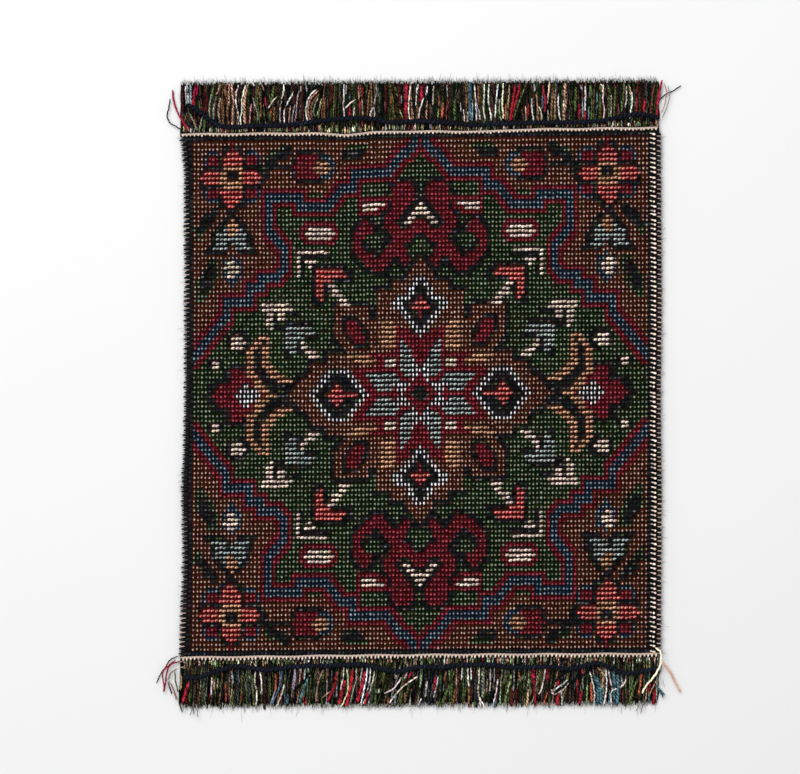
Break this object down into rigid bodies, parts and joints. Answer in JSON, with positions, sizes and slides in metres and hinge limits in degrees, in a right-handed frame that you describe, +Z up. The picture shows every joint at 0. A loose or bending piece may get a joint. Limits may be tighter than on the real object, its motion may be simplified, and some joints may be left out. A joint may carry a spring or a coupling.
{
  "type": "miniature woven rug",
  "caption": "Small flat-woven rug with a medallion pattern, thick cream end picks, loose navy picks and a yarn fringe at both ends.",
  "frame": {"origin": "middle of the whole rug, on the flat underside that rests on the table", "axes": "+Z up out of the rug's face, +Y towards the far fringe, +X towards the right-hand selvedge"},
  "size_m": [0.1094, 0.1305, 0.0021],
  "materials": {
    "cloth": "matt woven yarns, ribbed by the weft",
    "cream_yarn": "matt two-ply yarn",
    "warp_yarn": "matt two-ply yarns of many colours",
    "navy_yarn": "matt soft yarn"
  },
  "bodies": {
    "root": {"cloth": "cloth", "cream_pick_far": "cream_yarn", "cream_pick_near": "cream_yarn", "fringe_far": "warp_yarn", "fringe_near": "warp_yarn", "navy_pick_far": "navy_yarn", "navy_pick_near": "navy_yarn"}
  },
  "joints": []
}
